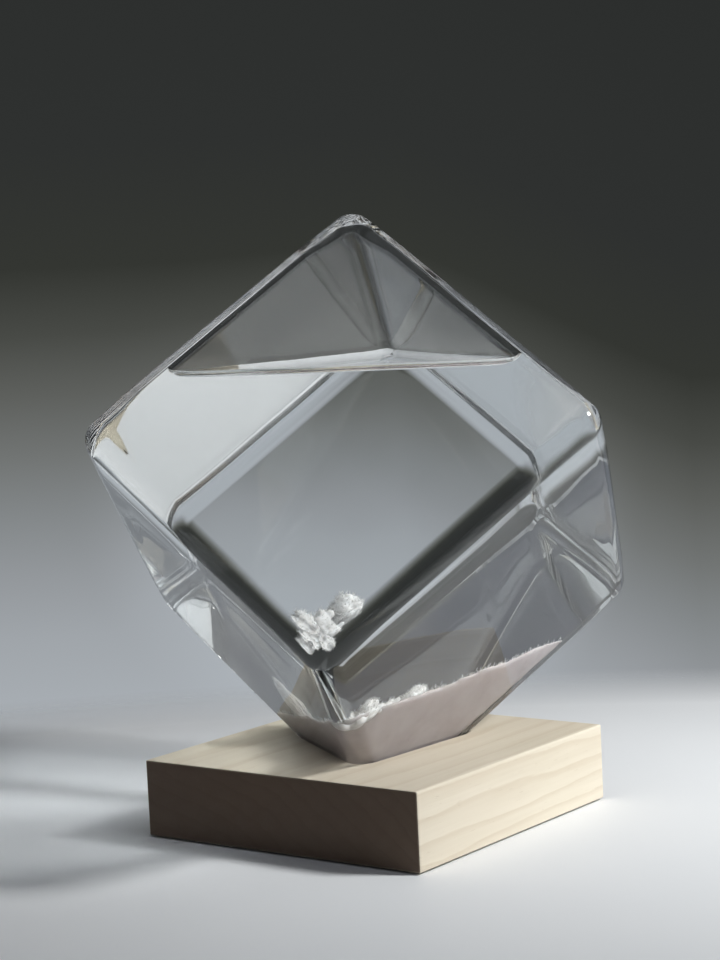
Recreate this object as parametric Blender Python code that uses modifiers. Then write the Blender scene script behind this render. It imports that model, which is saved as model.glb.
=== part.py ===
"""Storm glass: a sealed glass cube standing on one corner in a square wooden base.

The cube is hollow, with rounded edges and rounder corners, and its body diagonal is vertical.
It holds a clear camphor solution, settled crystals filling the bottom corner with two feathery
plumes growing from them, and a pocket of air at the top. The filling hole is in the bottom
corner, ground flat, closed with a silicone plug and a bead of sealant. The bottom corner sits
in a three-sided pocket in the base, and the whole vessel lifts straight up out of it.

Metres, +Z up. The origin is on the table, under the cube's upright diagonal, and the base's
sides are square to X and Y.
"""

import math

import bmesh
import bpy
from mathutils import Matrix, Vector, noise

MM = 0.001

# ---- the glass cube -------------------------------------------------------------------
CUBE = 80.0 * MM  # edge length, before rounding
CORNER_Z = -0.8 * MM  # height of the sharp bottom corner, if the cube were not rounded
TURN = math.radians(27.0)  # of the cube about the upright diagonal, from the base's sides
EDGE_R = 4.6 * MM  # outer rounding along the edges
CORNER_R = 5.4 * MM  # and at the corners
WALL = 2.2 * MM
IN_EDGE_R = 2.8 * MM  # the glass is a little thicker along its edges
IN_CORNER_R = 5.0 * MM
BLEND = 14.0 * MM  # length over which an edge's radius grows into the corner's
GROUND_Z = 4.7 * MM  # the bottom corner is ground flat here
FILL_HOLE_R = 2.2 * MM

# ---- what is inside --------------------------------------------------------------------
LIQUID_Z = 99.2 * MM  # height of the liquid's surface
GAP = 0.3 * MM  # kept between pieces that touch
BED_Z = 29.3 * MM  # height of the settled crystals on the axis
BED_SLOPE = (0.234, 0.056)  # they have settled higher towards +X and a little towards +Y
BED_LUMP = 1.3 * MM
PLUME_L_AT = Vector((-9.9, -8.0, 32.4)) * MM
PLUME_R_AT = Vector((-8.2, 6.8, 32.2)) * MM
PLUME_L_SIZE = Vector((4.4, 4.4, 8.2)) * MM
PLUME_R_SIZE = Vector((4.9, 5.0, 9.0)) * MM
PLUME_ROUGH = 0.2

# ---- the stopper -----------------------------------------------------------------------
PLUG_R = 1.85 * MM
PLUG_Z = (5.0 * MM, 6.6 * MM)
BEAD_R = 3.3 * MM
BEAD_Z = (3.4 * MM, 4.4 * MM)

# ---- the wooden base ---------------------------------------------------------------------
SIDE = 72.5 * MM
BASE_Z = (0.4 * MM, 17.2 * MM)
BASE_BEVEL = 0.35 * MM
BORE_R = 8.0 * MM  # clearance under the ground corner
PAD_R = 4.5 * MM
PAD_H = 0.9 * MM
PAD_AT = 27.0 * MM  # from the centre along X and along Y
PAD_WELL = 0.8 * MM  # depth of the recess each pad sits in

for ob in list(bpy.data.objects):
    bpy.data.objects.remove(ob, do_unlink=True)

parts = bpy.data.collections.new("storm_glass")
cutters = bpy.data.collections.new("cutters")
bpy.context.scene.collection.children.link(parts)
bpy.context.scene.collection.children.link(cutters)


def material(name, colour, roughness, metallic=0.0, alpha=1.0, ior=1.45, transmission=0.0):
    mat = bpy.data.materials.new(name)
    mat.use_nodes = True
    shader = mat.node_tree.nodes["Principled BSDF"]
    shader.inputs["Base Color"].default_value = (*colour, 1.0)
    shader.inputs["Roughness"].default_value = roughness
    shader.inputs["Metallic"].default_value = metallic
    shader.inputs["Alpha"].default_value = alpha
    shader.inputs["IOR"].default_value = ior
    shader.inputs["Transmission Weight"].default_value = transmission
    return mat


def add(name, bm, mat, at=(0.0, 0.0, 0.0), into=None):
    """An object whose mesh, drawn in world coordinates, is moved so that its origin is at `at`."""
    mesh = bpy.data.meshes.new(name)
    bmesh.ops.translate(bm, vec=-Vector(at), verts=bm.verts)
    bmesh.ops.recalc_face_normals(bm, faces=bm.faces)
    bm.to_mesh(mesh)
    bm.free()
    ob = bpy.data.objects.new(name, mesh)
    ob.location = at
    (into or parts).objects.link(ob)
    if mat is not None:
        mesh.materials.append(mat)
    if into is cutters:
        ob.hide_render = True
        ob.display_type = "WIRE"
    return ob


def cut(ob, cutter, operation="DIFFERENCE"):
    mod = ob.modifiers.new(cutter.name, "BOOLEAN")
    mod.object = cutter
    mod.operation = operation
    mod.solver = "EXACT"


# ---- the cube on its corner ----------------------------------------------------------------
def stand():
    """Turns a cube about its centre so that one corner points straight down, and lifts it there."""
    rise = math.asin(math.sqrt(1.0 / 3.0))
    axes = [
        Vector(
            (
                math.cos(rise) * math.cos(TURN + math.radians(a)),
                math.cos(rise) * math.sin(TURN + math.radians(a)),
                math.sin(rise),
            )
        )
        for a in (270.0, 30.0, 150.0)
    ]
    turn = Matrix(axes).transposed().to_4x4()
    return Matrix.Translation((0.0, 0.0, CORNER_Z + math.sqrt(3.0) * CUBE / 2.0)) @ turn


def smooth(x):
    x = min(max(x, 0.0), 1.0)
    return x * x * (3.0 - 2.0 * x)


def rounded_cube(half, edge_r, corner_r, arc=3, flat=8):
    """A cube of this half size, its edges rounded, and its corners rounded more. It starts as a
    cube with a square grid on each face: the outer `arc` rows become the rounding, and the
    `flat` rows between them the face, closer together towards its ends."""
    bm = bmesh.new()
    bmesh.ops.create_cube(bm, size=2.0)
    rows = 2 * arc + flat
    bmesh.ops.subdivide_edges(bm, edges=bm.edges[:], cuts=rows - 1, use_grid_fill=True)

    def row(x):
        """Where a grid line lies: its side, how far along the face it is, and its lean in the rounding."""
        i = round((x + 1.0) / 2.0 * rows)
        if i < arc:
            return -1.0, 1.0, math.tan(math.radians(45.0) * (arc - i) / arc)
        if i > rows - arc:
            return 1.0, 1.0, math.tan(math.radians(45.0) * (i - rows + arc) / arc)
        c = math.sin(math.radians(-90.0 + 180.0 * (i - arc) / flat))
        return (1.0 if c >= 0.0 else -1.0), abs(c), 0.0

    start = 1.0 - BLEND / half
    for v in bm.verts:
        lines = [row(x) for x in v.co]
        near = smooth((min(c for _, c, _ in lines) - start) / (1.0 - start))
        r = edge_r + (corner_r - edge_r) * near
        out = Vector([s * t for s, _, t in lines])
        v.co = Vector([s * c * (half - r) for s, c, _ in lines]) + r * out.normalized()
    bmesh.ops.transform(bm, matrix=stand(), verts=bm.verts)
    return bm


def box(low, high):
    bm = bmesh.new()
    bmesh.ops.create_cube(bm, size=1.0)
    size = [h - l for l, h in zip(low, high)]
    middle = [(h + l) / 2.0 for l, h in zip(low, high)]
    bmesh.ops.scale(bm, vec=size, verts=bm.verts)
    bmesh.ops.translate(bm, vec=middle, verts=bm.verts)
    return bm


def rod(radius, low, high, at=(0.0, 0.0), sides=48):
    bm = bmesh.new()
    bmesh.ops.create_cone(
        bm, cap_ends=True, segments=sides, radius1=radius, radius2=radius, depth=high - low
    )
    bmesh.ops.translate(bm, vec=(at[0], at[1], (low + high) / 2.0), verts=bm.verts)
    return bm


def lump(at, size, grow=0.0, level=4, seed=0.0, rough=0.16):
    """A lumpy ball, such as crystals grow into. grow adds to it all over."""
    bm = bmesh.new()
    bmesh.ops.create_icosphere(bm, subdivisions=level, radius=1.0)
    for v in bm.verts:
        d = v.co.normalized()
        q = d * 1.7 + Vector((seed, seed * 0.7, seed * 1.3))
        bulge = noise.noise(q) + 0.45 * noise.noise(q * 2.3)
        reach = 1.0 + rough * bulge
        v.co = Vector([d[k] * (size[k] * reach + grow) for k in range(3)]) + Vector(at)
    return bm


def mound(lift=0.0):
    """A wide block whose top is the uneven, sloping surface of the settled crystals."""
    bm = bmesh.new()
    bmesh.ops.create_grid(bm, x_segments=26, y_segments=26, size=52 * MM)
    for v in bm.verts:
        q = Vector((v.co.x, v.co.y, 0.0)) / MM
        bulge = noise.noise(q * 0.085) + 0.45 * noise.noise(q * 0.21)
        slope = BED_SLOPE[0] * v.co.x + BED_SLOPE[1] * v.co.y
        v.co.z = BED_Z + slope + BED_LUMP * bulge + lift
    bmesh.ops.triangulate(bm, faces=bm.faces[:], quad_method="FIXED")
    block = bmesh.ops.extrude_face_region(bm, geom=bm.faces[:])["geom"]
    for v in (g for g in block if isinstance(g, bmesh.types.BMVert)):
        v.co.z = -12 * MM
    bmesh.ops.recalc_face_normals(bm, faces=bm.faces[:])
    return bm


half = CUBE / 2.0
glass = material("glass", (0.93, 0.96, 0.95), 0.02, alpha=1.0, ior=1.47, transmission=1.0)
clear = material("solution", (0.95, 0.97, 0.96), 0.0, ior=1.36, transmission=1.0)
white = material("crystals", (0.90, 0.92, 0.95), 0.55)
plumes = material("plumes", (0.88, 0.91, 0.95), 0.6)
silicone = material("silicone", (0.80, 0.80, 0.78), 0.5)
sealant = material("sealant", (0.72, 0.72, 0.68), 0.25)
wood = material("pale_wood", (0.74, 0.62, 0.45), 0.55)
felt = material("pads", (0.30, 0.28, 0.26), 0.9)

SEAT = (0.0, 0.0, CORNER_Z)  # the vessel's pieces have their origin on the lifting axis

# ---- cutters -------------------------------------------------------------------------------
inner = half - WALL
cavity = add("cavity", rounded_cube(inner, IN_EDGE_R, IN_CORNER_R), None, into=cutters)
ground = add(
    "ground_corner",
    box((-20 * MM, -20 * MM, CORNER_Z - 5 * MM), (20 * MM, 20 * MM, GROUND_Z)),
    None,
    into=cutters,
)
fill_hole = add("fill_hole", rod(FILL_HOLE_R, 0.0, 12.0 * MM), None, into=cutters)
pocket = add(
    "pocket", rounded_cube(half + GAP, EDGE_R + GAP, CORNER_R + GAP), None, into=cutters
)
bore = add("clearance_bore", rod(BORE_R, -2 * MM, 14 * MM), None, into=cutters)
air = add(
    "air",
    box((-80 * MM, -80 * MM, LIQUID_Z), (80 * MM, 80 * MM, LIQUID_Z + 60 * MM)),
    None,
    into=cutters,
)
heap = add("heap", mound(), None, into=cutters)
heap_room = add("heap_room", mound(GAP), None, into=cutters)
left_room = add(
    "left_room", lump(PLUME_L_AT, PLUME_L_SIZE, GAP, 3, 5.0, PLUME_ROUGH), None, into=cutters
)
right_room = add(
    "right_room", lump(PLUME_R_AT, PLUME_R_SIZE, GAP, 3, 8.0, PLUME_ROUGH), None, into=cutters
)

# ---- the vessel and its contents -------------------------------------------------------------
vessel = add("glass_vessel", rounded_cube(half, EDGE_R, CORNER_R), glass, SEAT)
cut(vessel, cavity)
cut(vessel, ground)
cut(vessel, fill_hole)

solution = add(
    "storm_solution",
    rounded_cube(inner - GAP, IN_EDGE_R - GAP, IN_CORNER_R - GAP),
    clear,
    SEAT,
)
cut(solution, air)
cut(solution, heap_room)
cut(solution, left_room)
cut(solution, right_room)

bed = add(
    "crystal_bed",
    rounded_cube(inner - 2 * GAP, IN_EDGE_R - 2 * GAP, IN_CORNER_R - 2 * GAP),
    white,
    SEAT,
)
cut(bed, heap, "INTERSECT")

left = add(
    "crystal_plume_left", lump(PLUME_L_AT, PLUME_L_SIZE, 0.0, 3, 5.0, PLUME_ROUGH), plumes, SEAT
)
cut(left, heap_room)
right = add(
    "crystal_plume_right", lump(PLUME_R_AT, PLUME_R_SIZE, 0.0, 3, 8.0, PLUME_ROUGH), plumes, SEAT
)
cut(right, heap_room)
cut(right, left_room)


# ---- the stopper and its seal: turned shapes -----------------------------------------------------
def turned(name, profile, mat, at):
    """A solid of revolution about Z: the profile runs from the axis out and down the outside."""
    bm = bmesh.new()
    verts = [bm.verts.new((r, 0.0, z - at[2])) for r, z in profile]
    for a, b in zip(verts, verts[1:]):
        bm.edges.new((a, b))
    mesh = bpy.data.meshes.new(name)
    bm.to_mesh(mesh)
    bm.free()
    ob = bpy.data.objects.new(name, mesh)
    ob.location = at
    parts.objects.link(ob)
    mesh.materials.append(mat)
    screw = ob.modifiers.new("turn", "SCREW")
    screw.axis = "Z"
    screw.angle = 2.0 * math.pi
    screw.steps = 32
    screw.render_steps = 32
    screw.use_merge_vertices = True
    screw.merge_threshold = 0.00001
    screw.use_smooth_shade = True
    return ob


low, high = PLUG_Z
turned(
    "fill_stopper",
    [
        (0.0, high),
        (PLUG_R * 0.72, high),
        (PLUG_R * 0.94, high - 0.3 * MM),
        (PLUG_R, high - 0.9 * MM),
        (PLUG_R * 0.93, (low + high) / 2.0),
        (PLUG_R, low + 0.9 * MM),
        (PLUG_R * 0.96, low + 0.2 * MM),
        (PLUG_R * 0.80, low),
        (0.0, low),
    ],
    silicone,
    SEAT,
)
low, high = BEAD_Z
turned(
    "stopper_seal",
    [(0.0, high), (BEAD_R * 0.96, high)]
    + [
        (
            BEAD_R * math.cos(math.radians(a)),
            high - 0.12 * MM - (high - 0.12 * MM - low) * math.sin(math.radians(a)),
        )
        for a in range(0, 90, 15)
    ]
    + [(0.0, low)],
    sealant,
    SEAT,
)

# ---- the base ------------------------------------------------------------------------------------
base_bm = box((-SIDE / 2, -SIDE / 2, BASE_Z[0]), (SIDE / 2, SIDE / 2, BASE_Z[1]))
bmesh.ops.bevel(
    base_bm, geom=base_bm.edges[:], offset=BASE_BEVEL, segments=2, profile=0.5, affect="EDGES"
)
base = add("wood_base", base_bm, wood)
cut(base, pocket)
cut(base, bore)

for name, sx, sy in (
    ("foot_pad_front_left", -1, -1),
    ("foot_pad_front_right", 1, -1),
    ("foot_pad_back_left", -1, 1),
    ("foot_pad_back_right", 1, 1),
):
    x, y = sx * PAD_AT, sy * PAD_AT
    well = add(
        "well_" + name,
        rod(PAD_R + GAP, -1 * MM, BASE_Z[0] + PAD_WELL, (x, y), 32),
        None,
        into=cutters,
    )
    cut(base, well)
    pad_bm = rod(PAD_R, 0.0, PAD_H, (x, y), 32)
    rims = [e for e in pad_bm.edges if abs(e.verts[0].co.z - e.verts[1].co.z) < 1e-6]
    bmesh.ops.bevel(
        pad_bm, geom=rims, offset=0.12 * MM, segments=1, profile=0.5, affect="EDGES"
    )
    add(name, pad_bm, felt, (x, y, 0.0))

for ob in parts.objects:
    if ob.name in ("glass_vessel", "storm_solution", "crystal_bed") or "plume" in ob.name:
        ob.data.shade_smooth()
        ob.data.set_sharp_from_angle(angle=math.radians(30.0))
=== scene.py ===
"""The looks of the storm glass: clear vessel, solution with its meniscus, feathery crystals, pale wood base."""

import math

import bmesh
import bpy
import numpy as np
from mathutils import Matrix, Vector, noise

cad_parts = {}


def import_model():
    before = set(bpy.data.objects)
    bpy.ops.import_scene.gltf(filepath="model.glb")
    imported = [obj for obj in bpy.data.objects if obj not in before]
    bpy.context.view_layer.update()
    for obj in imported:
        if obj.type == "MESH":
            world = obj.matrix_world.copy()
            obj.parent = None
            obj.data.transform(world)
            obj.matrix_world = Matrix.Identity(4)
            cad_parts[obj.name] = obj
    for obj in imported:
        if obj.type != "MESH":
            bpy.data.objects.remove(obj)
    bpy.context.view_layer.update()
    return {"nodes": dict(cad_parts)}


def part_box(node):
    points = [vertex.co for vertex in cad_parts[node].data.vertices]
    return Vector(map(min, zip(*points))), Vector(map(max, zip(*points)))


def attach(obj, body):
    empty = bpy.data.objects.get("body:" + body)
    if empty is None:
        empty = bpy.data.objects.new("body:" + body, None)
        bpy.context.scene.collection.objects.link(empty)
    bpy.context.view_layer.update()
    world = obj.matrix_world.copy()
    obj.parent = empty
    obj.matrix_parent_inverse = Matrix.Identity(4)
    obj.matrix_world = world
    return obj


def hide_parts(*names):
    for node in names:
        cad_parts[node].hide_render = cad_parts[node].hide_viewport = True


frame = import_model()
nodes = frame["nodes"]
scene = bpy.context.scene
MM = 0.001

# ---- the design's own sizes, as in the CAD -------------------------------------------------
CUBE = 80.0 * MM
TURN = math.radians(27.0)
EDGE_R, CORNER_R = 4.6 * MM, 5.4 * MM
WALL = 2.2 * MM
IN_EDGE_R, IN_CORNER_R = 2.8 * MM, 5.0 * MM
BLEND = 14.0 * MM
FILL_HOLE_R = 2.15 * MM
HALF = CUBE / 2.0
INNER = HALF - WALL
vessel_low, vessel_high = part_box("glass_vessel")
liquid_low, liquid_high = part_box("storm_solution")
base_low, base_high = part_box("wood_base")
GROUND_Z = vessel_low.z
LIQUID_Z = liquid_high.z
# the rounded top corner's height gives the sharp bottom corner's
CORNER_Z = vessel_high.z - math.sqrt(3.0) * CUBE + (math.sqrt(3.0) - 1.0) * CORNER_R

GLASS_IOR = 1.47
LIQUID_IOR = 1.36


# ---- small helpers --------------------------------------------------------------------------
def link(ob):
    scene.collection.objects.link(ob)
    return ob


def clamp01(x):
    return np.clip(x, 0.0, 1.0)


def smooth(x):
    x = clamp01(x)
    return x * x * (3.0 - 2.0 * x)


def stand():
    rise = math.asin(math.sqrt(1.0 / 3.0))
    axes = [
        (
            math.cos(rise) * math.cos(TURN + math.radians(a)),
            math.cos(rise) * math.sin(TURN + math.radians(a)),
            math.sin(rise),
        )
        for a in (270.0, 30.0, 150.0)
    ]
    return np.array(axes).T, np.array((0.0, 0.0, CORNER_Z + math.sqrt(3.0) * CUBE / 2.0))


TURN_M, CENTRE = stand()


def wave(points, seed, scale):
    """A slow, smooth unevenness over the glass, from -1 to 1."""
    shift = Vector((seed, seed * 1.7, -seed * 0.6))
    return np.array([noise.noise(Vector(p) * scale + shift) for p in points])


def wave_slope(points, seed, scale, step=0.0004):
    """Its gradient."""
    base = wave(points, seed, scale)
    out = np.zeros_like(points)
    for k in range(3):
        moved = points.copy()
        moved[:, k] += step
        out[:, k] = (wave(moved, seed, scale) - base) / step
    return base, out


class Skin:
    """The surface of a cube of this half size with rounded edges and rounder corners, slightly
    uneven, as hot-formed glass is. Points are in cube coordinates until world() is called."""

    def __init__(self, half, edge_r, corner_r, seed, swell, sag=0.0):
        self.half, self.edge_r, self.corner_r = half, edge_r, corner_r
        self.seed, self.swell, self.sag = seed, swell, sag

    def radius(self, near):
        start = 1.0 - BLEND / self.half
        return self.edge_r + (self.corner_r - self.edge_r) * smooth((near - start) / (1.0 - start))

    def grid(self, arc, flat):
        rows = 2 * arc + flat
        index = np.arange(rows + 1)
        lean = np.zeros(rows + 1)
        along = np.ones(rows + 1)
        side = np.ones(rows + 1)
        for i in index:
            if i < arc:
                side[i], lean[i] = -1.0, math.tan(math.radians(45.0) * (arc - i) / arc)
            elif i > rows - arc:
                lean[i] = math.tan(math.radians(45.0) * (i - rows + arc) / arc)
            else:
                c = math.sin(math.radians(-90.0 + 180.0 * (i - arc) / flat))
                side[i], along[i] = (1.0 if c >= 0 else -1.0), abs(c)
        known, logical, quads = {}, [], []

        def vert(key):
            if key not in known:
                known[key] = len(logical)
                logical.append(key)
            return known[key]

        for axis in range(3):
            u, v = (axis + 1) % 3, (axis + 2) % 3
            for end in (0, rows):
                for i in range(rows):
                    for j in range(rows):
                        ring = []
                        for a, b in ((i, j), (i + 1, j), (i + 1, j + 1), (i, j + 1)):
                            key = [0, 0, 0]
                            key[axis], key[u], key[v] = end, a, b
                            ring.append(vert(tuple(key)))
                        quads.append(ring if end else ring[::-1])
        keys = np.array(logical)
        s, c, t = side[keys], along[keys], lean[keys]
        r = self.radius(c.min(axis=1))[:, None]
        out = s * t
        out /= np.linalg.norm(out, axis=1)[:, None]
        points = s * c * (self.half - r) + r * out
        return points, quads

    def normals(self, points):
        """Outward normals of the even surface at points on or near it."""
        q = np.abs(points)
        r = np.full(len(q), self.edge_r)
        for _ in range(4):
            near = np.minimum(q / (self.half - r)[:, None], 1.0).min(axis=1)
            r = self.radius(near)
        over = np.maximum(q - (self.half - r)[:, None], 0.0) * np.sign(points)
        return over / np.maximum(np.linalg.norm(over, axis=1), 1e-12)[:, None]

    def shaped(self, points, offset=0.0):
        """The uneven surface's points and normals."""
        n = self.normals(points)
        height, slope = wave_slope(points, self.seed, 26.0)
        fine, fine_slope = wave_slope(points, self.seed + 3.1, 70.0)
        bend = slope + 0.25 * fine_slope
        # a broad, shallow dish in the middle of each face, where hot glass sinks
        dish = np.zeros(len(points))
        pull = np.zeros_like(points)
        if self.sag:
            u = np.clip(np.abs(points) / self.half, 0.0, 1.0)
            hump = np.cos(u * math.pi / 2.0) ** 2
            fall = -np.sign(points) * np.sin(u * math.pi) * (math.pi / 2.0) / self.half
            for k in range(3):
                a, b = (k + 1) % 3, (k + 2) % 3
                on = (np.abs(n[:, k]) ** 4) * self.sag
                dish -= on * hump[:, a] * hump[:, b]
                pull[:, a] -= on * fall[:, a] * hump[:, b]
                pull[:, b] -= on * fall[:, b] * hump[:, a]
        out = points + n * (self.swell * (height + 0.25 * fine) + dish + offset)[:, None]
        g = self.swell * bend + pull
        tilt = g - (g * n).sum(axis=1)[:, None] * n
        m = n - tilt
        return out, m / np.linalg.norm(m, axis=1)[:, None]


def world(points):
    return points @ TURN_M.T + CENTRE


def local(points):
    return (points - CENTRE) @ TURN_M


def turned(normals):
    return normals @ TURN_M.T


OUTER = Skin(HALF, EDGE_R, CORNER_R, seed=4.0, swell=0.10 * MM, sag=0.25 * MM)
CAVITY = Skin(INNER, IN_EDGE_R, IN_CORNER_R, seed=9.0, swell=0.13 * MM, sag=0.25 * MM)


def skin_mesh(name, skin, arc, flat, offset=0.0):
    """A bmesh of a skin in world coordinates. A vertex layer keeps each point of the even
    surface, so that exact normals can be worked out after cuts."""
    points, quads = skin.grid(arc, flat)
    shaped, _ = skin.shaped(points, offset)
    bm = bmesh.new()
    layers = [bm.verts.layers.float.new("even_" + a) for a in "xyz"]
    at = world(shaped)
    verts = []
    for p, q in zip(at, points):
        v = bm.verts.new(p)
        for lay, c in zip(layers, q):
            v[lay] = c
        verts.append(v)
    for quad in quads:
        bm.faces.new([verts[i] for i in quad])
    return bm


def even_points(bm):
    layers = [bm.verts.layers.float["even_" + a] for a in "xyz"]
    return np.array([[v[lay] for lay in layers] for v in bm.verts])


def slice_z(bm, z, clear_above=False, clear_below=False):
    bmesh.ops.bisect_plane(
        bm,
        geom=bm.verts[:] + bm.edges[:] + bm.faces[:],
        dist=1e-8,
        plane_co=(0.0, 0.0, z),
        plane_no=(0.0, 0.0, 1.0),
        clear_outer=clear_above,
        clear_inner=clear_below,
    )


def loop_from(edges):
    """The vertices of a closed loop of edges, in order."""
    start = edges[0].verts[0]
    ring, v, came = [start], start, None
    left = set(edges)
    while True:
        nxt = [e for e in v.link_edges if e in left and e is not came]
        if not nxt:
            break
        came = nxt[0]
        left.discard(came)
        v = came.other_vert(v)
        if v is start:
            break
        ring.append(v)
    return ring


# ---- where the liquid meets the glass ---------------------------------------------------------
CAPILLARY = 1.8 * MM  # capillary length of the water and alcohol
LEAN = math.radians(84.0)  # the surface's slope where it meets the glass
RISE = 2.0 * CAPILLARY * math.sin(LEAN / 2.0)  # how far it climbs on a face
MOUTH_Z = CORNER_Z + math.sqrt(3.0) * (WALL + IN_CORNER_R) - math.sqrt(IN_CORNER_R**2 - FILL_HOLE_R**2)

DRY, WET, CUT = 0, 1, 2


def contact_height(even):
    """Height of the contact line near points of the even inner surface. It climbs further along
    the cube's edges, and wanders a little."""
    ranked = np.sort(even, axis=1)
    beside = np.maximum(INNER - ranked[:, 1], 0.0)
    corner = np.exp(-beside / (2.6 * MM))
    drift = wave(even, 17.0, 60.0) * 0.10 + wave(even, 31.0, 210.0) * 0.035
    return LIQUID_Z + RISE * (1.0 + 0.34 * corner + drift * 0.8)


def cut_at_contact(bm, skin, offset=0.0, clear_above=False):
    """Splits the faces along the contact line. The mesh is first warped so that the line is a level."""
    even = even_points(bm)
    level = contact_height(even)
    for v, z in zip(bm.verts, level):
        v.co.z -= z
    slice_z(bm, 0.0, clear_above=clear_above)
    even = even_points(bm)
    at = world(skin.shaped(even, offset)[0])
    for v, p in zip(bm.verts, at):
        v.co = p
    return even


# ---- the vessel ---------------------------------------------------------------------------------
def build_vessel():
    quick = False
    arc, flat = (6, 18) if quick else (10, 30)
    outer = skin_mesh("outer", OUTER, arc, flat)
    slice_z(outer, GROUND_Z, clear_below=True)
    inner = skin_mesh("inner", CAVITY, arc, flat)
    even = cut_at_contact(inner, CAVITY)
    gap = {v: z for v, z in zip(inner.verts, world(CAVITY.shaped(even)[0])[:, 2] - contact_height(even))}
    for f in inner.faces:
        f.material_index = WET if sum(gap[v] for v in f.verts) < 0.0 else DRY
    slice_z(inner, MOUTH_Z, clear_below=True)
    bmesh.ops.reverse_faces(inner, faces=inner.faces[:])
    for f in outer.faces:
        f.material_index = DRY
    side_layer = []
    for b, value in ((outer, 1), (inner, 2)):
        lay = b.verts.layers.int.new("side")
        for v in b.verts:
            v[lay] = value
        m = bpy.data.meshes.new("tmp")
        b.to_mesh(m)
        side_layer.append(m)
        b.free()
    bm = bmesh.new()
    for m in side_layer:
        bm.from_mesh(m)
        bpy.data.meshes.remove(m)
    lay = bm.verts.layers.int["side"]
    rims = [e for e in bm.edges if e.is_boundary]
    outer_rim = [e for e in rims if e.verts[0][lay] == 1]
    inner_rim = [e for e in rims if e.verts[0][lay] == 2]
    # the filling hole: the cavity's rim taken straight down to the ground face
    new = bmesh.ops.extrude_edge_only(bm, edges=inner_rim)["geom"]
    for v in (g for g in new if isinstance(g, bmesh.types.BMVert)):
        v.co.z = GROUND_Z
        v[lay] = 3
    for f in (g for g in new if isinstance(g, bmesh.types.BMFace)):
        f.material_index = CUT
    low_rim = [
        g
        for g in new
        if isinstance(g, bmesh.types.BMEdge) and g.verts[0][lay] == 3 and g.verts[1][lay] == 3
    ]
    made = bmesh.ops.triangle_fill(
        bm, use_beauty=True, use_dissolve=False, edges=outer_rim + low_rim
    )["geom"]
    for f in (g for g in made if isinstance(g, bmesh.types.BMFace)):
        f.material_index = CUT
    bmesh.ops.recalc_face_normals(bm, faces=bm.faces[:])
    if bm.calc_volume(signed=True) < 0:
        bmesh.ops.reverse_faces(bm, faces=bm.faces[:])
    even = even_points(bm)
    side = np.array([v[lay] for v in bm.verts])
    mesh = bpy.data.meshes.new("vessel")
    bm.to_mesh(mesh)
    open_edges = sum(1 for e in bm.edges if not e.is_manifold)
    bm.free()
    print("vessel: faces", len(mesh.polygons), "open edges", open_edges)
    normals = np.zeros((len(even), 3))
    a = side == 1
    normals[a] = turned(OUTER.shaped(even[a])[1])
    b = side == 2
    normals[b] = -turned(CAVITY.shaped(even[b])[1])
    set_normals(mesh, normals, flat_slots=(CUT,))
    return link(bpy.data.objects.new("vessel_glass", mesh))


def set_normals(mesh, normals, flat_slots=()):
    """Exact normals on every corner, except that faces in flat_slots are shaded flat."""
    mesh.shade_smooth()
    loops = []
    for poly in mesh.polygons:
        for i in poly.vertices:
            n = poly.normal if poly.material_index in flat_slots else normals[i]
            loops.append(tuple(n))
    mesh.normals_split_custom_set(loops)


vessel = build_vessel()

# ---- the solution ---------------------------------------------------------------------------------
TOP, SIDES = 0, 1


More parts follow.
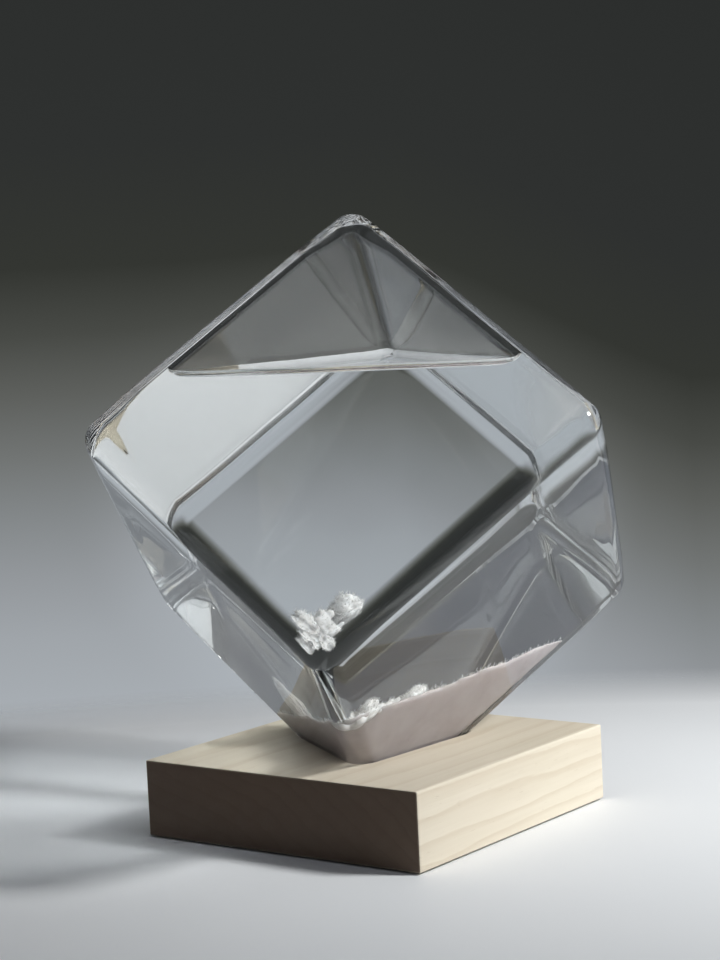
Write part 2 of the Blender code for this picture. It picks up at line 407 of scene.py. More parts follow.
def build_liquid():
    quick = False
    arc, flat = (6, 18) if quick else (10, 30)
    bm = skin_mesh("liquid", CAVITY, arc, flat, offset=-0.03 * MM)
    known = cut_at_contact(bm, CAVITY, -0.03 * MM, clear_above=True)
    for f in bm.faces:
        f.material_index = SIDES
    even = {v: e for v, e in zip(bm.verts, known)}
    rim = loop_from([e for e in bm.edges if e.is_boundary])
    pts = np.array([even[v] for v in rim])
    out = turned(CAVITY.shaped(pts)[1])[:, :2]
    inward = -out / np.linalg.norm(out, axis=1)[:, None]
    if sum(
        rim[i].co.x * rim[(i + 1) % len(rim)].co.y - rim[(i + 1) % len(rim)].co.x * rim[i].co.y
        for i in range(len(rim))
    ) < 0:
        rim, inward = rim[::-1], inward[::-1]
    n = len(rim)
    reach = 0.7072 * (math.sqrt(3.0) * HALF + CENTRE[2] - math.sqrt(3.0) * WALL - LIQUID_Z)

    def along(lean):
        return math.log(math.tan(lean / 4.0)) + 2.0 * math.cos(lean / 2.0)

    rings, facing = [], []
    for lean in [LEAN] + [math.radians(a) for a in (74, 63, 52, 42, 33, 25, 18, 12.5, 8, 5, 3, 1.6, 0.0)]:
        share = math.sin(lean / 2.0) / math.sin(LEAN / 2.0)
        away = CAPILLARY * (along(LEAN) - along(lean)) if lean else 9.5 * MM
        if lean == LEAN:
            rings.append(rim)
        else:
            ring = []
            for v in rim:
                keep = 1.0 - away / reach
                rise = (v.co.z - LIQUID_Z) * share
                ring.append(bm.verts.new((v.co.x * keep, v.co.y * keep, LIQUID_Z + rise)))
            rings.append(ring)
        facing.append([Vector((d[0] * math.sin(lean), d[1] * math.sin(lean), math.cos(lean))) for d in inward])
    top_faces = []
    for a, b in zip(rings, rings[1:]):
        for i in range(n):
            j = (i + 1) % n
            top_faces.append(bm.faces.new((a[i], a[j], b[j], b[i])))
    middle = bm.verts.new((0.0, 0.0, LIQUID_Z))
    for i in range(n):
        top_faces.append(bm.faces.new((rings[-1][i], rings[-1][(i + 1) % n], middle)))
    for f in top_faces:
        f.material_index = TOP
    bm.verts.index_update()
    up = {middle.index: Vector((0.0, 0.0, 1.0))}
    for ring, face in zip(rings, facing):
        for v, d in zip(ring, face):
            up[v.index] = d
    sides_n = turned(CAVITY.shaped(np.array([even.get(v, (0, 0, 1)) for v in bm.verts]))[1])
    mesh = bpy.data.meshes.new("solution")
    bm.to_mesh(mesh)
    open_edges = sum(1 for e in bm.edges if not e.is_manifold)
    volume = bm.calc_volume(signed=True)
    bm.free()
    print("solution: faces", len(mesh.polygons), "open edges", open_edges, "litres", volume * 1000)
    mesh.shade_smooth()
    loops = []
    for poly in mesh.polygons:
        for i in poly.vertices:
            loops.append(tuple(up[i] if poly.material_index == TOP else sides_n[i]))
    mesh.normals_split_custom_set(loops)
    return link(bpy.data.objects.new("solution", mesh))


solution = build_liquid()


# ---- crystals ------------------------------------------------------------------------------------
def inside_by(points):
    """How far points are inside the cavity's flat faces."""
    return INNER - np.abs(local(points)).max(axis=1)


def unit(a):
    return a / np.maximum(np.linalg.norm(a, axis=1), 1e-12)[:, None]


def needle_mesh(name, roots, tips, widths, rng):
    """Thin crystals, each with a root, a tip and four corners between, widest near the root."""
    count = len(roots)
    way = unit(tips - roots)
    across = unit(np.cross(way, rng.normal(size=(count, 3))))
    up = np.cross(across, way)
    mid = roots + 0.35 * (tips - roots)
    w = widths[:, None]
    verts = np.stack(
        [roots, tips, mid + across * w, mid + up * w * 0.5, mid - across * w, mid - up * w * 0.5], axis=1
    ).reshape(-1, 3)
    tri = np.array(
        [(0, 3, 2), (0, 4, 3), (0, 5, 4), (0, 2, 5), (1, 2, 3), (1, 3, 4), (1, 4, 5), (1, 5, 2)]
    )
    faces = (np.arange(count)[:, None, None] * 6 + tri[None]).reshape(-1, 3)
    mesh = bpy.data.meshes.new(name)
    mesh.from_pydata(verts.tolist(), [], faces.tolist())
    mesh.update()
    return link(bpy.data.objects.new(name, mesh))


def feathers(name, sources, seed):
    """Small feathers all over some surfaces: a rib each, and barbs that shorten towards its tip.
    sources is a list of (object, count, length, upward bias, test on a face)."""
    rng = np.random.default_rng(seed)
    roots, ways, lengths = [], [], []
    for ob, count, length, lift, keep in sources:
        mesh = ob.data
        areas = np.array([p.area if keep(p) else 0.0 for p in mesh.polygons])
        centres = np.array([p.center for p in mesh.polygons])
        normals = np.array([p.normal for p in mesh.polygons])
        pick = rng.choice(len(areas), size=count, p=areas / areas.sum())
        jitter = rng.normal(size=(count, 3)) * np.sqrt(areas[pick])[:, None] * 0.35
        n = normals[pick]
        way = unit(n + np.array((0.0, 0.0, lift)) + rng.normal(scale=0.45, size=(count, 3)))
        reach = length * rng.uniform(0.4, 1.2, size=count)
        roots.append(centres[pick] + jitter - n * reach[:, None] * 0.15)
        ways.append(way)
        lengths.append(reach)
    root, way, reach = np.concatenate(roots), np.concatenate(ways), np.concatenate(lengths)
    tip = root + way * reach[:, None]
    ok = inside_by(tip) > 0.35 * MM
    root, way, reach, tip = root[ok], way[ok], reach[ok], tip[ok]
    side = unit(np.cross(way, rng.normal(size=root.shape)))
    all_roots, all_tips, all_widths = [root], [tip], [reach * 0.05]
    for t in (0.25, 0.42, 0.58, 0.74):
        for turn in (-1.0, 1.0):
            at = root + way * (reach * t)[:, None]
            size = reach * 0.42 * (1.0 - 0.7 * t) * rng.uniform(0.7, 1.15, size=len(root))
            out = unit(way * 0.8 + side * turn + rng.normal(scale=0.12, size=root.shape))
            all_roots.append(at)
            all_tips.append(at + out * size[:, None])
            all_widths.append(size * 0.11)
    r, t, w = np.concatenate(all_roots), np.concatenate(all_tips), np.concatenate(all_widths)
    fits = inside_by(t) > 0.3 * MM
    return needle_mesh(name, r[fits], t[fits], w[fits], rng)


def remeshed(ob, grain):
    """One closed skin round everything in the object, with even, small faces."""
    mod = ob.modifiers.new("voxels", "REMESH")
    mod.mode = "VOXEL"
    mod.voxel_size = grain
    deps = bpy.context.evaluated_depsgraph_get()
    new = bpy.data.meshes.new_from_object(ob.evaluated_get(deps))
    old = ob.data
    ob.modifiers.clear()
    ob.data = new
    bpy.data.meshes.remove(old)
    new.update()
    return ob


def crusted(ob, seed, waves, amount, wall_amount=None):
    """Grows lumps over a surface. waves is a list of (frequency per mm, share)."""
    mesh = ob.data
    at = np.array([v.co for v in mesh.vertices])
    n = np.array([v.normal for v in mesh.vertices])
    q = at * 1000.0 + np.array((seed, -seed, seed * 0.5))
    d = np.zeros(len(at))
    for frequency, share in waves:
        d += share * (np.abs([noise.noise(Vector(p * frequency)) for p in q]) - 0.2)
    size = np.full(len(at), amount)
    if wall_amount is not None:
        near_wall = np.clip(1.0 - (inside_by(at) - 0.8 * MM) / (1.5 * MM), 0.0, 1.0)
        size = size * (1.0 - near_wall) + wall_amount * near_wall
    moved = at + n * (d * size)[:, None]
    bad = inside_by(moved) < 0.25 * MM
    moved[bad] = at[bad]
    mesh.vertices.foreach_set("co", moved.astype(np.float32).ravel())
    mesh.update()
    mesh.shade_smooth()
    return ob


def blob_object(name, blobs):
    bm = bmesh.new()
    for centre, radius in blobs:
        made = bmesh.ops.create_icosphere(bm, subdivisions=2, radius=radius)["verts"]
        bmesh.ops.translate(bm, vec=Vector(centre), verts=made)
    mesh = bpy.data.meshes.new(name)
    bm.to_mesh(mesh)
    bm.free()
    return link(bpy.data.objects.new(name, mesh))


def puff(name, at, half, seed, grain=0.32 * MM):
    """A soft cloud of crystals: a full core, lumps all over it and a foot in the bed."""
    mid, half = np.array(at) * MM, np.array(half) * MM * 0.93
    rng = np.random.default_rng(seed)
    thin = min(half[0], half[1])
    blobs = []
    for t in np.linspace(-1.0, 1.0, 7):
        blobs.append((mid + (0, 0, t * (half[2] - thin * 0.78)), thin * (0.70 - 0.10 * t * t)))
    turn = math.pi * (3.0 - math.sqrt(5.0))
    for i in range(44):
        z = 1.0 - 2.0 * (i + 0.5) / 44
        r = math.sqrt(1.0 - z * z)
        d = np.array((r * math.cos(turn * i), r * math.sin(turn * i), z)) + rng.normal(scale=0.08, size=3)
        size = rng.uniform(0.20, 0.42) * thin
        blobs.append((mid + d * np.maximum(half - size, 0.0) * rng.uniform(0.80, 1.02), size))
    blobs.append((mid - (0, 0, half[2] + 0.4 * MM), thin * 0.7))
    ob = remeshed(blob_object(name, blobs), grain)
    return crusted(ob, seed, [(0.8, 0.7), (1.9, 0.4)], 0.35 * MM)


def copy_of(node, name):
    src = nodes[node]
    bm = bmesh.new()
    bm.from_object(src, bpy.context.evaluated_depsgraph_get())
    bm.transform(src.matrix_world)
    bmesh.ops.remove_doubles(bm, verts=bm.verts, dist=1e-6)
    mesh = bpy.data.meshes.new(name)
    bm.to_mesh(mesh)
    bm.free()
    return link(bpy.data.objects.new(name, mesh))


few = 1.0
bed = remeshed(copy_of("crystal_bed", "crystal_bed_mass"), 0.75 * MM)
crusted(bed, 3.0, [(0.22, 1.0), (0.6, 0.6), (1.5, 0.4)], 1.5 * MM, wall_amount=0.10 * MM)
left = puff("plume_left_core", (-9.9, -7.9, 33.1), (4.4, 4.4, 7.3), 7)
right = puff("plume_right_core", (-8.2, 6.9, 33.6), (4.9, 5.0, 7.4), 12)
between = puff("crystal_saddle", (-9.3, -0.8, 32.0), (3.9, 4.8, 6.4), 15)
# loose white drifts that lie on the bed where it meets the front right face
drift = remeshed(
    blob_object(
        "crystal_drifts",
        [
            (np.array(c) * MM, r * MM)
            for c, r in (
                ((14.9, -31.6, 29.2), 1.5),
                ((15.9, -29.4, 30.2), 2.0),
                ((16.3, -26.9, 31.2), 1.9),
                ((16.8, -24.3, 31.9), 1.6),
                ((17.4, -21.8, 32.1), 1.1),
                ((17.2, -12.9, 32.6), 1.6),
                ((17.9, -11.2, 33.3), 1.2),
                ((16.2, -13.6, 31.6), 1.5),
            )
        ],
    ),
    0.4 * MM,
)
crusted(drift, 5.0, [(0.6, 0.9), (1.5, 0.6)], 0.8 * MM)


def on_top(p):
    return p.normal.z > 0.45


bed_feathers = feathers(
    "crystal_bed_feathers",
    [(bed, int(2000 * few), 1.4 * MM, 1.0, on_top), (drift, int(500 * few), 1.0 * MM, 0.6, lambda p: True)],
    21,
)
left_feathers = feathers(
    "plume_left_feathers", [(left, int(1000 * few), 1.35 * MM, 0.25, lambda p: True)], 22
)
right_feathers = feathers(
    "plume_right_feathers",
    [
        (right, int(1200 * few), 1.35 * MM, 0.25, lambda p: True),
        (between, int(500 * few), 1.2 * MM, 0.25, lambda p: True),
    ],
    23,
)
crystal_pieces = (bed, drift, between, left, right, bed_feathers, left_feathers, right_feathers)


# ---- materials -------------------------------------------------------------------------------------
class Nodes:
    """A material's node tree, built by short calls."""

    def __init__(self, name):
        self.mat = bpy.data.materials.new(name)
        self.mat.use_nodes = True
        self.tree = self.mat.node_tree
        self.tree.nodes.clear()
        self.out = self.tree.nodes.new("ShaderNodeOutputMaterial")

    def add(self, kind, **settings):
        node = self.tree.nodes.new("ShaderNode" + kind)
        for key, value in settings.items():
            setattr(node, key, value)
        return node

    def wire(self, a, b):
        self.tree.links.new(a, b)
        return b

    def principled(self, colour, roughness, **values):
        p = self.add("BsdfPrincipled")
        p.inputs["Base Color"].default_value = (*colour, 1.0)
        p.inputs["Roughness"].default_value = roughness
        for key, value in values.items():
            p.inputs[key.replace("_", " ")].default_value = value
        return p

    def where(self, scale=(1.0, 1.0, 1.0), at=(0.0, 0.0, 0.0)):
        coord = self.add("TexCoord")
        mapping = self.add("Mapping")
        mapping.inputs["Scale"].default_value = scale
        mapping.inputs["Location"].default_value = at
        self.wire(coord.outputs["Object"], mapping.inputs["Vector"])
        return mapping.outputs["Vector"]

    def noise(self, vector, scale, detail=4.0, rough=0.5, distortion=0.0):
        n = self.add("TexNoise")
        n.inputs["Scale"].default_value = scale
        n.inputs["Detail"].default_value = detail
        n.inputs["Roughness"].default_value = rough
        n.inputs["Distortion"].default_value = distortion
        self.wire(vector, n.inputs["Vector"])
        return n.outputs["Fac"]

    def ramp(self, value, stops):
        r = self.add("ValToRGB")
        els = r.color_ramp.elements
        while len(els) < len(stops):
            els.new(0.5)
        for el, (pos, colour) in zip(els, stops):
            el.position = pos
            el.color = (*colour, 1.0) if len(colour) == 3 else colour
        self.wire(value, r.inputs["Fac"])
        return r.outputs["Color"]

    def span(self, value, a, b, lo, hi):
        m = self.add("MapRange")
        m.inputs["From Min"].default_value = a
        m.inputs["From Max"].default_value = b
        m.inputs["To Min"].default_value = lo
        m.inputs["To Max"].default_value = hi
        self.wire(value, m.inputs["Value"])
        return m.outputs["Result"]

    def math(self, operation, a, b=None, c=None):
        m = self.add("Math", operation=operation)
        for i, x in enumerate((a, b, c)):
            if x is None:
                continue
            if isinstance(x, (int, float)):
                m.inputs[i].default_value = x
            else:
                self.wire(x, m.inputs[i])
        return m.outputs["Value"]

    def bump(self, height, strength, distance, normal=None):
        b = self.add("Bump")
        b.inputs["Strength"].default_value = strength
        b.inputs["Distance"].default_value = distance
        self.wire(height, b.inputs["Height"])
        if normal is not None:
            self.wire(normal, b.inputs["Normal"])
        return b.outputs["Normal"]

    def mix_colour(self, fac, a, b, blend="MIX"):
        m = self.add("Mix", data_type="RGBA", blend_type=blend)
        for socket, x in ((m.inputs[0], fac), (m.inputs[6], a), (m.inputs[7], b)):
            if isinstance(x, (int, float)):
                socket.default_value = x
            elif isinstance(x, tuple):
                socket.default_value = (*x, 1.0)
            else:
                self.wire(x, socket)
        return m.outputs[2]

    def lets_lamps_through(self, surface, colour, edges=False):
        """Light from lamps reaches what is behind clear glass, tinted by this colour."""
        path = self.add("LightPath")
        clear = self.add("BsdfTransparent")
        clear.inputs["Color"].default_value = (*colour, 1.0)
        if edges:
            # the cube's rounded edges bend light away, so they throw darker bands of shadow
            dark = tuple(c * 0.12 for c in colour)
            tone = self.ramp(self.beside_edge(), [(0.72, colour), (0.90, dark)])
            self.wire(tone, clear.inputs["Color"])
        mix = self.add("MixShader")
        self.wire(path.outputs["Is Shadow Ray"], mix.inputs[0])
        self.wire(surface, mix.inputs[1])
        self.wire(clear.outputs[0], mix.inputs[2])
        return mix.outputs[0]

    def beside_edge(self):
        """How near a point on the cube is to one of its edges, 1 on the edge."""
        coord = self.add("TexCoord")
        shift = self.add("VectorMath", operation="SUBTRACT")
        self.wire(coord.outputs["Object"], shift.inputs[0])
        shift.inputs[1].default_value = tuple(CENTRE)
        a, b, c = (self.along(shift.outputs[0], TURN_M[:, k]) for k in range(3))
        inner = self.math("MAXIMUM", self.math("MINIMUM", a, b), self.math("MINIMUM", self.math("MAXIMUM", a, b), c))
        return self.math("DIVIDE", inner, HALF)

    def along(self, vector, axis):
        dot = self.add("VectorMath", operation="DOT_PRODUCT")
        self.wire(vector, dot.inputs[0])
        dot.inputs[1].default_value = tuple(axis)
        return self.math("ABSOLUTE", dot.outputs["Value"])

    def done(self, surface):
        self.wire(surface, self.out.inputs["Surface"])
        return self.mat


def glass_material(name, ior, tint, shadow, ground=0.0, edge_blur=0.06):
    m = Nodes(name)
    p = m.principled(tint, 0.0, IOR=ior, Transmission_Weight=1.0)
    where = m.where()
    cast = m.noise(where, 24.0, 2.0)
    m.wire(m.ramp(cast, [(0.3, tuple(c - 0.010 for c in tint)), (0.7, tint)]), p.inputs["Base Color"])
    if ground:
        scuffs = m.noise(where, 900.0, 3.0)
        m.wire(m.span(scuffs, 0.3, 0.7, ground, ground + 0.2), p.inputs["Roughness"])
    else:
        # hot-formed edges are a little less true than the faces
        m.wire(m.span(m.beside_edge(), 0.88, 0.95, 0.0, edge_blur), p.inputs["Roughness"])
    return m.done(m.lets_lamps_through(p.outputs[0], shadow, edges=ior > 1.2))


glass_dry = glass_material("glass_clear", GLASS_IOR, (0.995, 0.997, 0.998), (0.90, 0.905, 0.91))
glass_wet = glass_material("glass_wetted", GLASS_IOR / LIQUID_IOR, (0.997, 0.998, 0.998), (0.95, 0.955, 0.96))
glass_cut = glass_material("glass_ground", GLASS_IOR, (0.97, 0.98, 0.98), (0.8, 0.82, 0.82), 0.3)
for mat in (glass_dry, glass_wet, glass_cut):
    vessel.data.materials.append(mat)


def liquid_top_material():
    m = Nodes("solution_surface")
    p = m.principled((0.985, 0.99, 0.985), 0.0, IOR=LIQUID_IOR, Transmission_Weight=1.0)
    still = m.noise(m.where(), 40.0, 1.0)
    m.wire(m.bump(still, 0.1, 0.0001), p.inputs["Normal"])
    return m.done(m.lets_lamps_through(p.outputs[0], (0.95, 0.96, 0.96)))


def liquid_side_material():
    m = Nodes("solution_body")
    clear = m.add("BsdfTransparent")
    shade = m.noise(m.where(), 30.0, 1.0)
    m.wire(m.ramp(shade, [(0.0, (0.985, 0.99, 0.988)), (1.0, (0.995, 1.0, 0.998))]), clear.inputs["Color"])
    return m.done(clear.outputs[0])


solution.data.materials.append(liquid_top_material())
solution.data.materials.append(liquid_side_material())


def crystal_material(name, dark, light, see_through, deep):
    m = Nodes(name)
    where = m.where()
    grain = m.noise(where, 420.0, 5.0, 0.65)
    clumps = m.noise(where, 120.0, 3.0, 0.5)
    tone = m.mix_colour(m.span(clumps, 0.3, 0.7, 0.0, 1.0), dark, light)
    tone = m.mix_colour(m.span(grain, 0.35, 0.7, 0.0, 0.35), tone, light)
    p = m.principled(light, 0.45, IOR=1.2, Specular_IOR_Level=0.4, Subsurface_Weight=0.9)
    p.inputs["Subsurface Radius"].default_value = (deep, deep * 0.96, deep * 0.93)
    p.inputs["Subsurface Scale"].default_value = 1.0
    m.wire(tone, p.inputs["Base Color"])
    m.wire(m.span(grain, 0.3, 0.7, 0.35, 0.7), p.inputs["Roughness"])
    m.wire(m.bump(grain, 0.3, 0.0002), p.inputs["Normal"])
    back = m.add("BsdfTranslucent")
    m.wire(tone, back.inputs["Color"])
    mix = m.add("MixShader")
    mix.inputs[0].default_value = see_through
    m.wire(p.outputs[0], mix.inputs[1])
    m.wire(back.outputs[0], mix.inputs[2])
    return m.done(mix.outputs[0])


packed = crystal_material("crystals_packed", (0.435, 0.38, 0.39), (0.54, 0.495, 0.505), 0.12, 0.007)
feathery = crystal_material("crystals_feathery", (0.985, 0.992, 1.0), (1.0, 1.0, 1.0), 0.2, 0.0012)
for ob in crystal_pieces:
    ob.data.materials.clear()
    ob.data.materials.append(packed if ob is bed else feathery)


def wood_material():
    m = Nodes("pale_wood_grain")
    coord = m.add("TexCoord")
    split = m.add("SeparateXYZ")
    m.wire(coord.outputs["Object"], split.inputs[0])
    # the board is cut far from the pith, and its grain runs along Y with a slight drift
    drift = m.noise(m.where(scale=(30.0, 6.0, 30.0)), 1.0, 3.0, 0.5)
    away_x = m.math("ADD", m.math("ADD", split.outputs["X"], 0.052), m.math("MULTIPLY", drift, 0.010))
    away_z = m.math("ADD", m.math("ADD", split.outputs["Z"], 0.115), m.math("MULTIPLY", drift, 0.006))
    far = m.math("SQRT", m.math("ADD", m.math("MULTIPLY", away_x, away_x), m.math("MULTIPLY", away_z, away_z)))
    wobble = m.noise(m.where(scale=(90.0, 14.0, 90.0)), 1.0, 4.0, 0.55)
    rings = m.math("FRACT", m.math("ADD", m.math("MULTIPLY", far, 270.0), m.math("MULTIPLY", wobble, 1.3)))
    late = m.ramp(rings, [(0.0, (0.0,) * 3), (0.62, (0.12,) * 3), (0.93, (1.0,) * 3), (1.0, (0.0,) * 3)])
    fibre = m.noise(m.where(scale=(1500.0, 40.0, 1500.0)), 1.0, 3.0, 0.6)
    streak = m.noise(m.where(scale=(240.0, 9.0, 240.0)), 1.0, 4.0, 0.6)
    pores = m.noise(m.where(scale=(3800.0, 260.0, 3800.0)), 1.0, 2.0, 0.5)
    flecks = m.span(pores, 0.68, 0.78, 0.0, 1.0)
    patch = m.noise(m.where(), 22.0, 3.0, 0.5)
    tone = m.mix_colour(m.span(streak, 0.3, 0.7, 0.0, 1.0), (0.645, 0.575, 0.46), (0.735, 0.675, 0.56))
    tone = m.mix_colour(m.math("MULTIPLY", late, 0.38), tone, (0.49, 0.385, 0.265))
    tone = m.mix_colour(m.span(fibre, 0.35, 0.75, 0.0, 0.22), tone, (0.78, 0.72, 0.61))
    tone = m.mix_colour(m.math("MULTIPLY", flecks, 0.30), tone, (0.36, 0.25, 0.16))
    tone = m.mix_colour(m.span(patch, 0.35, 0.7, 0.0, 0.18), tone, (0.72, 0.62, 0.53))
    # both faces across the grain are painted much darker: a little of it is the end grain's own darker tone, and most
    # of it is painted shade for the side turned away from the lamp
    facing = m.add("SeparateXYZ")
    m.wire(coord.outputs["Normal"], facing.inputs[0])
    end = m.span(m.math("ABSOLUTE", facing.outputs["Y"]), 0.72, 0.95, 0.0, 1.0)
    tone = m.mix_colour(end, tone, m.mix_colour(1.0, tone, (0.17, 0.125, 0.10), blend="MULTIPLY"))
    p = m.principled((0.70, 0.58, 0.43), 0.5, Specular_IOR_Level=0.35)
    m.wire(tone, p.inputs["Base Color"])
    m.wire(m.math("ADD", m.span(fibre, 0.3, 0.7, 0.42, 0.60), m.math("MULTIPLY", late, -0.06)), p.inputs["Roughness"])
    height = m.math("ADD", m.math("MULTIPLY", fibre, 0.6), m.math("MULTIPLY", late, 0.25))
    height = m.math("SUBTRACT", height, m.math("MULTIPLY", flecks, 0.5))
    m.wire(m.bump(height, 0.35, 0.00012), p.inputs["Normal"])
    return m.done(p.outputs[0])


def silicone_material():
    m = Nodes("silicone_milky")
    where = m.where()
    cloud = m.noise(where, 700.0, 3.0)
    p = m.principled((0.82, 0.82, 0.80), 0.35, Subsurface_Weight=0.3, Specular_IOR_Level=0.4)
    p.inputs["Subsurface Radius"].default_value = (0.002, 0.002, 0.002)
    m.wire(m.ramp(cloud, [(0.3, (0.76, 0.76, 0.73)), (0.7, (0.87, 0.87, 0.85))]), p.inputs["Base Color"])
    m.wire(m.span(cloud, 0.3, 0.7, 0.3, 0.48), p.inputs["Roughness"])
    m.wire(m.bump(cloud, 0.2, 0.0001), p.inputs["Normal"])
    return m.done(p.outputs[0])


def sealant_material():
    m = Nodes("sealant_cured")
    where = m.where()
    flow = m.noise(where, 450.0, 2.0, 0.5, 1.0)
    bubbles = m.add("TexVoronoi")
    bubbles.inputs["Scale"].default_value = 1400.0
    m.wire(where, bubbles.inputs["Vector"])
    p = m.principled((0.78, 0.78, 0.72), 0.15, Coat_Weight=0.4, Coat_Roughness=0.08)
    m.wire(m.ramp(flow, [(0.3, (0.70, 0.70, 0.62)), (0.7, (0.83, 0.83, 0.78))]), p.inputs["Base Color"])
    m.wire(m.span(flow, 0.3, 0.7, 0.1, 0.25), p.inputs["Roughness"])
    m.wire(m.bump(m.math("ADD", flow, m.span(bubbles.outputs["Distance"], 0.0, 0.3, -0.5, 0.0)), 0.4, 0.0001), p.inputs["Normal"])
    return m.done(p.outputs[0])


def pad_material():
    m = Nodes("pad_foam")
    where = m.where()
    cells = m.add("TexVoronoi")
    cells.inputs["Scale"].default_value = 2600.0
    m.wire(where, cells.inputs["Vector"])
    mottle = m.noise(where, 300.0, 4.0, 0.6)
    p = m.principled((0.12, 0.115, 0.11), 0.85, Specular_IOR_Level=0.25)
    m.wire(m.ramp(mottle, [(0.3, (0.09, 0.085, 0.08)), (0.7, (0.16, 0.152, 0.145))]), p.inputs["Base Color"])
    m.wire(m.span(mottle, 0.3, 0.7, 0.75, 0.95), p.inputs["Roughness"])
    m.wire(m.bump(cells.outputs["Distance"], 0.5, 0.0002), p.inputs["Normal"])
    return m.done(p.outputs[0])


def dress(node, mat):
    ob = nodes[node]
    ob.data.materials.clear()
    ob.data.materials.append(mat)


dress("wood_base", wood_material())
dress("fill_stopper", silicone_material())
dress("stopper_seal", sealant_material())
pad = pad_material()
for name in nodes:
    if name.startswith("foot_pad"):
        dress(name, pad)

# ---- what rides on what -------------------------------------------------------------------------------
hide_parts("glass_vessel")
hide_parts("storm_solution")
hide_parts("crystal_bed")
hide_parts("crystal_plume_left")
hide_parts("crystal_plume_right")
for ob in (vessel, solution, *crystal_pieces):
    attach(ob, "vessel")

# ---- floor --------------------------------------------------------------------------------------------
# A pale table top, centred nearer the viewer, whose edge fades softly into the backdrop.
AWAY = Vector((-math.sin(math.radians(36.6)), math.cos(math.radians(36.6)), 0.0))
floor_bm = bmesh.new()
bmesh.ops.create_circle(floor_bm, cap_ends=True, segments=128, radius=0.50)
floor_mesh = bpy.data.meshes.new("floor")
floor_bm.to_mesh(floor_mesh)
floor_bm.free()
floor = link(bpy.data.objects.new("floor", floor_mesh))
floor.location = AWAY * -0.31
f = Nodes("floor_pale")
fp = f.principled((0.76, 0.775, 0.80), 0.6, Specular_IOR_Level=0.25)
cloud = f.noise(f.where(), 9.0, 3.0)
f.wire(f.ramp(cloud, [(0.3, (0.755, 0.775, 0.81)), (0.7, (0.785, 0.80, 0.83))]), fp.inputs["Base Color"])
length = f.add("VectorMath", operation="LENGTH")
f.wire(f.where(), length.inputs[0])
faded = f.add("BsdfTransparent")
edge = f.add("MixShader")
f.wire(f.span(length.outputs["Value"], 0.432, 0.485, 0.0, 1.0), edge.inputs[0])
f.wire(fp.outputs[0], edge.inputs[1])
f.wire(faded.outputs[0], edge.inputs[2])
floor_mesh.materials.append(f.done(edge.outputs[0]))

# ---- a plain backdrop, by height over the horizon ---------------------------------------------------------
backdrop = bpy.data.worlds.new("studio")
scene.world = backdrop
backdrop.use_nodes = True
wt = backdrop.node_tree
wt.nodes.clear()
w_out = wt.nodes.new("ShaderNodeOutputWorld")
w_bg = wt.nodes.new("ShaderNodeBackground")
w_tc = wt.nodes.new("ShaderNodeTexCoord")
w_sep = wt.nodes.new("ShaderNodeSeparateXYZ")
w_map = wt.nodes.new("ShaderNodeMapRange")
w_ramp = wt.nodes.new("ShaderNodeValToRGB")
w_map.inputs["From Min"].default_value = -0.20
w_map.inputs["From Max"].default_value = 0.20
wt.links.new(w_tc.outputs["Generated"], w_sep.inputs[0])
# it darkens a little towards the right
w_side = wt.nodes.new("ShaderNodeVectorMath")
w_side.operation = "DOT_PRODUCT"
w_side.inputs[1].default_value = (0.8025, 0.5967, 0.0)
w_tilt = wt.nodes.new("ShaderNodeMapRange")
w_tilt.inputs["From Min"].default_value = 0.02
w_tilt.inputs["From Max"].default_value = 0.14
w_tilt.inputs["To Max"].default_value = 0.058
w_height = wt.nodes.new("ShaderNodeMath")
wt.links.new(w_tc.outputs["Generated"], w_side.inputs[0])
wt.links.new(w_side.outputs["Value"], w_tilt.inputs["Value"])
wt.links.new(w_sep.outputs["Z"], w_height.inputs[0])
wt.links.new(w_tilt.outputs["Result"], w_height.inputs[1])
# and is lighter low down behind the object
w_behind = wt.nodes.new("ShaderNodeVectorMath")
w_behind.operation = "DOT_PRODUCT"
w_behind.inputs[1].default_value = (-0.594, 0.799, -0.0955)
w_near = wt.nodes.new("ShaderNodeMapRange")
w_near.interpolation_type = "SMOOTHSTEP"
w_near.inputs["From Min"].default_value = 0.9925
w_near.inputs["From Max"].default_value = 0.9985
w_low = wt.nodes.new("ShaderNodeMapRange")
w_low.inputs["From Min"].default_value = -0.06
w_low.inputs["From Max"].default_value = -0.15
w_low.inputs["To Min"].default_value = -0.007
w_low.inputs["To Max"].default_value = -0.045
w_glow = wt.nodes.new("ShaderNodeMath")
w_glow.operation = "MULTIPLY_ADD"
wt.links.new(w_tc.outputs["Generated"], w_behind.inputs[0])
wt.links.new(w_behind.outputs["Value"], w_near.inputs["Value"])
wt.links.new(w_sep.outputs["Z"], w_low.inputs["Value"])
wt.links.new(w_near.outputs["Result"], w_glow.inputs[0])
wt.links.new(w_low.outputs["Result"], w_glow.inputs[1])
wt.links.new(w_height.outputs["Value"], w_glow.inputs[2])
wt.links.new(w_glow.outputs["Value"], w_map.inputs["Value"])
wt.links.new(w_map.outputs["Result"], w_ramp.inputs["Fac"])
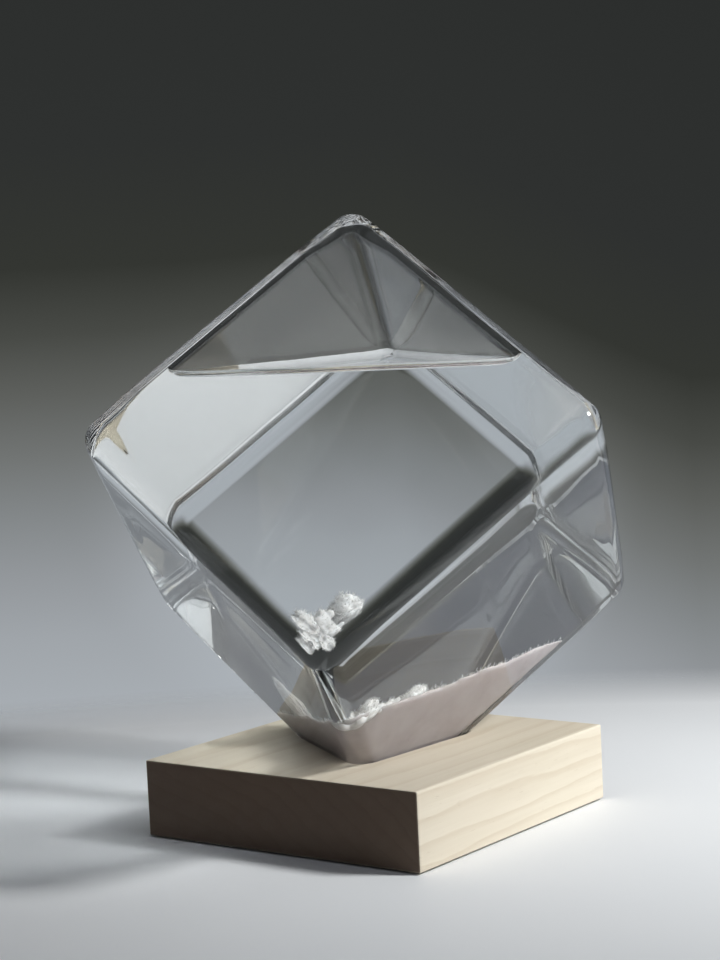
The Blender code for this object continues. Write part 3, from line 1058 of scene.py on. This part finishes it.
# the room in front of the object is lighter than the backdrop behind it
w_dot = wt.nodes.new("ShaderNodeVectorMath")
w_dot.operation = "DOT_PRODUCT"
w_dot.inputs[1].default_value = (0.12, -0.62, 0.775)
w_room = wt.nodes.new("ShaderNodeMapRange")
w_room.interpolation_type = "SMOOTHSTEP"
w_room.inputs["From Min"].default_value = 0.52
w_room.inputs["From Max"].default_value = 0.90
w_mix = wt.nodes.new("ShaderNodeMix")
w_mix.data_type = "RGBA"
w_mix.inputs[7].default_value = (0.054, 0.060, 0.077, 1.0)
wt.links.new(w_tc.outputs["Generated"], w_dot.inputs[0])
wt.links.new(w_dot.outputs["Value"], w_room.inputs["Value"])
wt.links.new(w_room.outputs["Result"], w_mix.inputs[0])
wt.links.new(w_ramp.outputs["Color"], w_mix.inputs[6])
wt.links.new(w_mix.outputs[2], w_bg.inputs["Color"])
wt.links.new(w_bg.outputs[0], w_out.inputs[0])


def shade(r, g, b):
    return tuple((c / 255.0 / 12.92) if c <= 10.3 else ((c / 255.0 + 0.055) / 1.055) ** 2.4 for c in (r, g, b)) + (1.0,)


stops = [
    (-0.20, (172, 178, 184)),
    (-0.154, (160, 165, 170)),
    (-0.129, (148, 152, 156)),
    (-0.104, (132, 136, 138)),
    (-0.079, (114, 117, 116)),
    (-0.053, (94, 96, 93)),
    (-0.028, (72, 74, 70)),
    (0.0, (52, 54, 50)),
    (0.05, (47, 49, 48)),
    (0.20, (43, 45, 44)),
]
els = w_ramp.color_ramp.elements
while len(els) < len(stops):
    els.new(0.5)
for el, (z, c) in zip(els, stops):
    el.position = (z + 0.20) / 0.40
    el.color = shade(*c)
w_bg.inputs["Strength"].default_value = 1.0


# ---- soft studio light --------------------------------------------------------------------------------------
def soft_light(name, at, aim, size, watts, colour, spread=180.0):
    data = bpy.data.lights.new(name, "AREA")
    data.shape = "RECTANGLE"
    data.size, data.size_y = size
    data.spread = math.radians(spread)
    data.energy = watts
    data.color = colour
    ob = link(bpy.data.objects.new(name, data))
    ob.location = at
    ob.rotation_mode = "QUATERNION"
    ob.rotation_quaternion = (Vector(aim) - Vector(at)).to_track_quat("-Z", "Y")
    return ob


def around(azimuth, elevation, distance, height=0.05):
    a, e = math.radians(azimuth), math.radians(elevation)
    return (
        distance * math.cos(e) * math.cos(a),
        distance * math.cos(e) * math.sin(a),
        height + distance * math.sin(e),
    )


soft_light("key", around(18.0, 36.0, 0.50), (0.01, 0.07, 0.0), (0.09, 0.09), 0.645, (0.995, 1.0, 0.975), 82.0)
# a faint overhead fill, which lights the scene but is not seen in the glass or in any reflection
fill = soft_light("fill", (0.25, -0.45, 1.2), (0.10, -0.20, 0.0), (1.0, 1.0), 1.5, (0.97, 0.985, 1.0))
fill.visible_camera = False
fill.visible_glossy = False
fill.visible_transmission = False

# ---- camera -------------------------------------------------------------------------------------------------
F_PX = 2362.5
AZ, EL, ROLL = math.radians(36.631), math.radians(5.4815), math.radians(-2.756)
DIST = 518.93 * MM
TARGET = Vector((-0.8674 * math.cos(AZ), -0.8674 * math.sin(AZ), 75.716)) * MM
cam_data = bpy.data.cameras.new("camera")
camera = link(bpy.data.objects.new("camera", cam_data))
cam_data.sensor_width = 36.0
cam_data.lens = F_PX * 36.0 / 960.0
cam_data.clip_start, cam_data.clip_end = 0.01, 20.0
ahead = Vector((-math.sin(AZ) * math.cos(EL), math.cos(AZ) * math.cos(EL), -math.sin(EL)))
right_v = Vector((math.cos(AZ), math.sin(AZ), 0.0))
up_v = right_v.cross(ahead)
r2 = right_v * math.cos(ROLL) + up_v * math.sin(ROLL)
u2 = -right_v * math.sin(ROLL) + up_v * math.cos(ROLL)
turn = Matrix((r2, u2, -ahead)).transposed().to_4x4()
camera.matrix_world = Matrix.Translation(TARGET - ahead * DIST) @ turn
scene.camera = camera

# ---- light paths deep enough for glass round liquid ------------------------------------------------------------
scene.cycles.max_bounces = 28
scene.cycles.transmission_bounces = 24
scene.cycles.glossy_bounces = 16
scene.cycles.diffuse_bounces = 4
scene.cycles.transparent_max_bounces = 48
scene.cycles.caustics_reflective = False
scene.cycles.caustics_refractive = True
scene.cycles.sample_clamp_indirect = 4.0
scene.view_settings.view_transform = "Standard"
